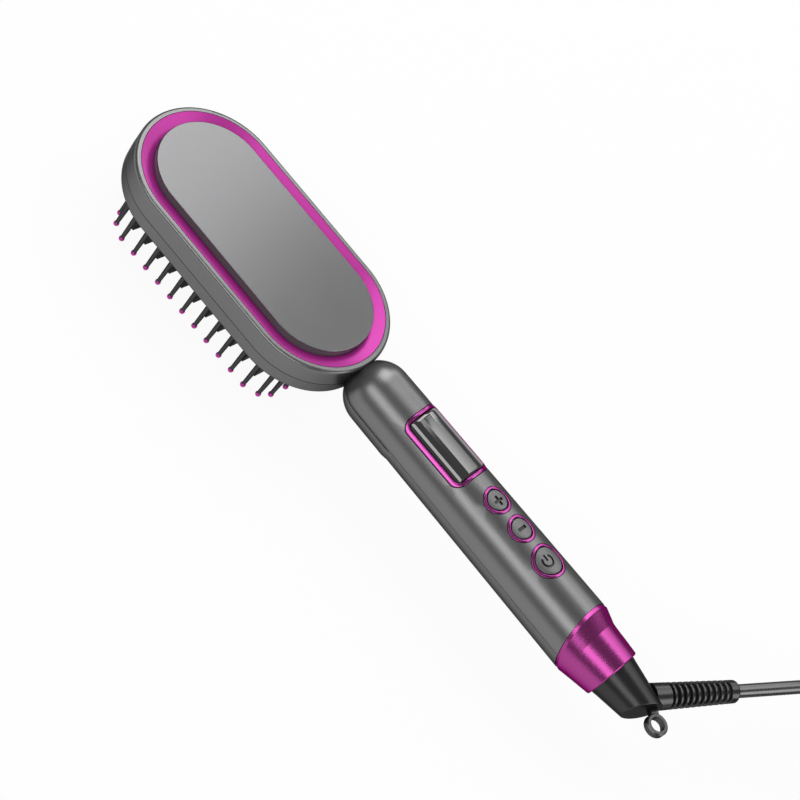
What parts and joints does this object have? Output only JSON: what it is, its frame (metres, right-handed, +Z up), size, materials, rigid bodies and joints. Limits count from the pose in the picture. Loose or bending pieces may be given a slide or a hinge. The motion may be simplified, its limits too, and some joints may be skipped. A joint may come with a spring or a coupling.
{
  "type": "electric straightening comb",
  "caption": "Heated straightening comb: paddle head with bristles and heated blades, round handle with display and buttons, swivel cord with hanging loop and coiled mains lead.",
  "frame": {"origin": "middle of the comb's length and width, at the level of the bristle tips, without the cord", "axes": "+X from the head to the tail, +Y towards the cord's side, +Z up out of the head's cap"},
  "size_m": [0.4494, 0.1523, 0.0414],
  "materials": {
    "case_grey": "satin",
    "cap_grey": "satin",
    "accent_plastic": "gloss",
    "accent_metal": "metallic gloss",
    "bristle_black": "satin",
    "bare_aluminium": "brushed",
    "heater_ceramic": "matte",
    "mica": "satin",
    "spring_steel": "brushed",
    "screw_steel": "plated",
    "inner_plastic": "matte",
    "lens_dark": "gloss",
    "board_green": "satin",
    "button_grey": "satin",
    "tail_black": "satin",
    "relief_rubber": "satin",
    "cord_rubber": "satin",
    "wire_red": "matte",
    "pin_brass": "plated"
  },
  "bodies": {
    "comb": {"head_upper_case": "case_grey", "head_lower_case": "case_grey", "accent_ring": "accent_plastic", "cap_panel": "cap_grey", "long_bristles": "bristle_black", "bristle_tips": "accent_plastic", "heating_plate": "bare_aluminium", "heating_fins": "bare_aluminium", "ptc_heaters": "heater_ceramic", "mica_sheet": "mica", "heater_clamp": "spring_steel", "clamp_screws": "screw_steel", "thermal_fuse": "heater_ceramic", "heat_sensor": "inner_plastic", "head_screws": "screw_steel", "neck_tube": "inner_plastic", "handle_front_shell": "case_grey", "handle_back_shell": "case_grey", "handle_screws": "screw_steel", "window_bezel": "accent_plastic", "window_lens": "lens_dark", "display_module": "inner_plastic", "control_board": "board_green", "board_screws": "screw_steel", "plus_ring": "accent_plastic", "minus_ring": "accent_plastic", "power_ring": "accent_plastic", "tact_switches": "inner_plastic", "heater_leads": "wire_red", "mains_leads": "wire_red", "tail_collar": "accent_metal", "tail_sleeve": "inner_plastic"},
    "plus_key": {"plus_button": "button_grey"},
    "minus_key": {"minus_button": "button_grey"},
    "power_key": {"power_button": "button_grey"},
    "swivel": {"swivel_cap": "tail_black", "swivel_clip": "spring_steel", "hang_loop": "tail_black", "strain_relief": "relief_rubber", "cord_inner": "cord_rubber", "cord_lead": "cord_rubber", "cord_coil": "cord_rubber", "cord_tail": "cord_rubber", "cord_ties": "tail_black", "plug_body": "tail_black", "plug_pins": "pin_brass"}
  },
  "joints": [
    {"name": "plus_press", "type": "slide", "parent": "comb", "child": "plus_key", "axis": [0, 0, -1], "range_m": [0, 0.0005], "stiffness_N_per_m": 1500, "springref_m": -0.0002},
    {"name": "minus_press", "type": "slide", "parent": "comb", "child": "minus_key", "axis": [0, 0, -1], "range_m": [0, 0.0005], "stiffness_N_per_m": 1500, "springref_m": -0.0002},
    {"name": "power_press", "type": "slide", "parent": "comb", "child": "power_key", "axis": [0, 0, -1], "range_m": [0, 0.0005], "stiffness_N_per_m": 1500, "springref_m": -0.0002},
    {"name": "cord_swivel", "type": "hinge", "parent": "comb", "child": "swivel", "pos_m": [0.12315, 0, 0.0267], "axis": [1, 0, 0], "range_deg": [-170, 170]}
  ]
}
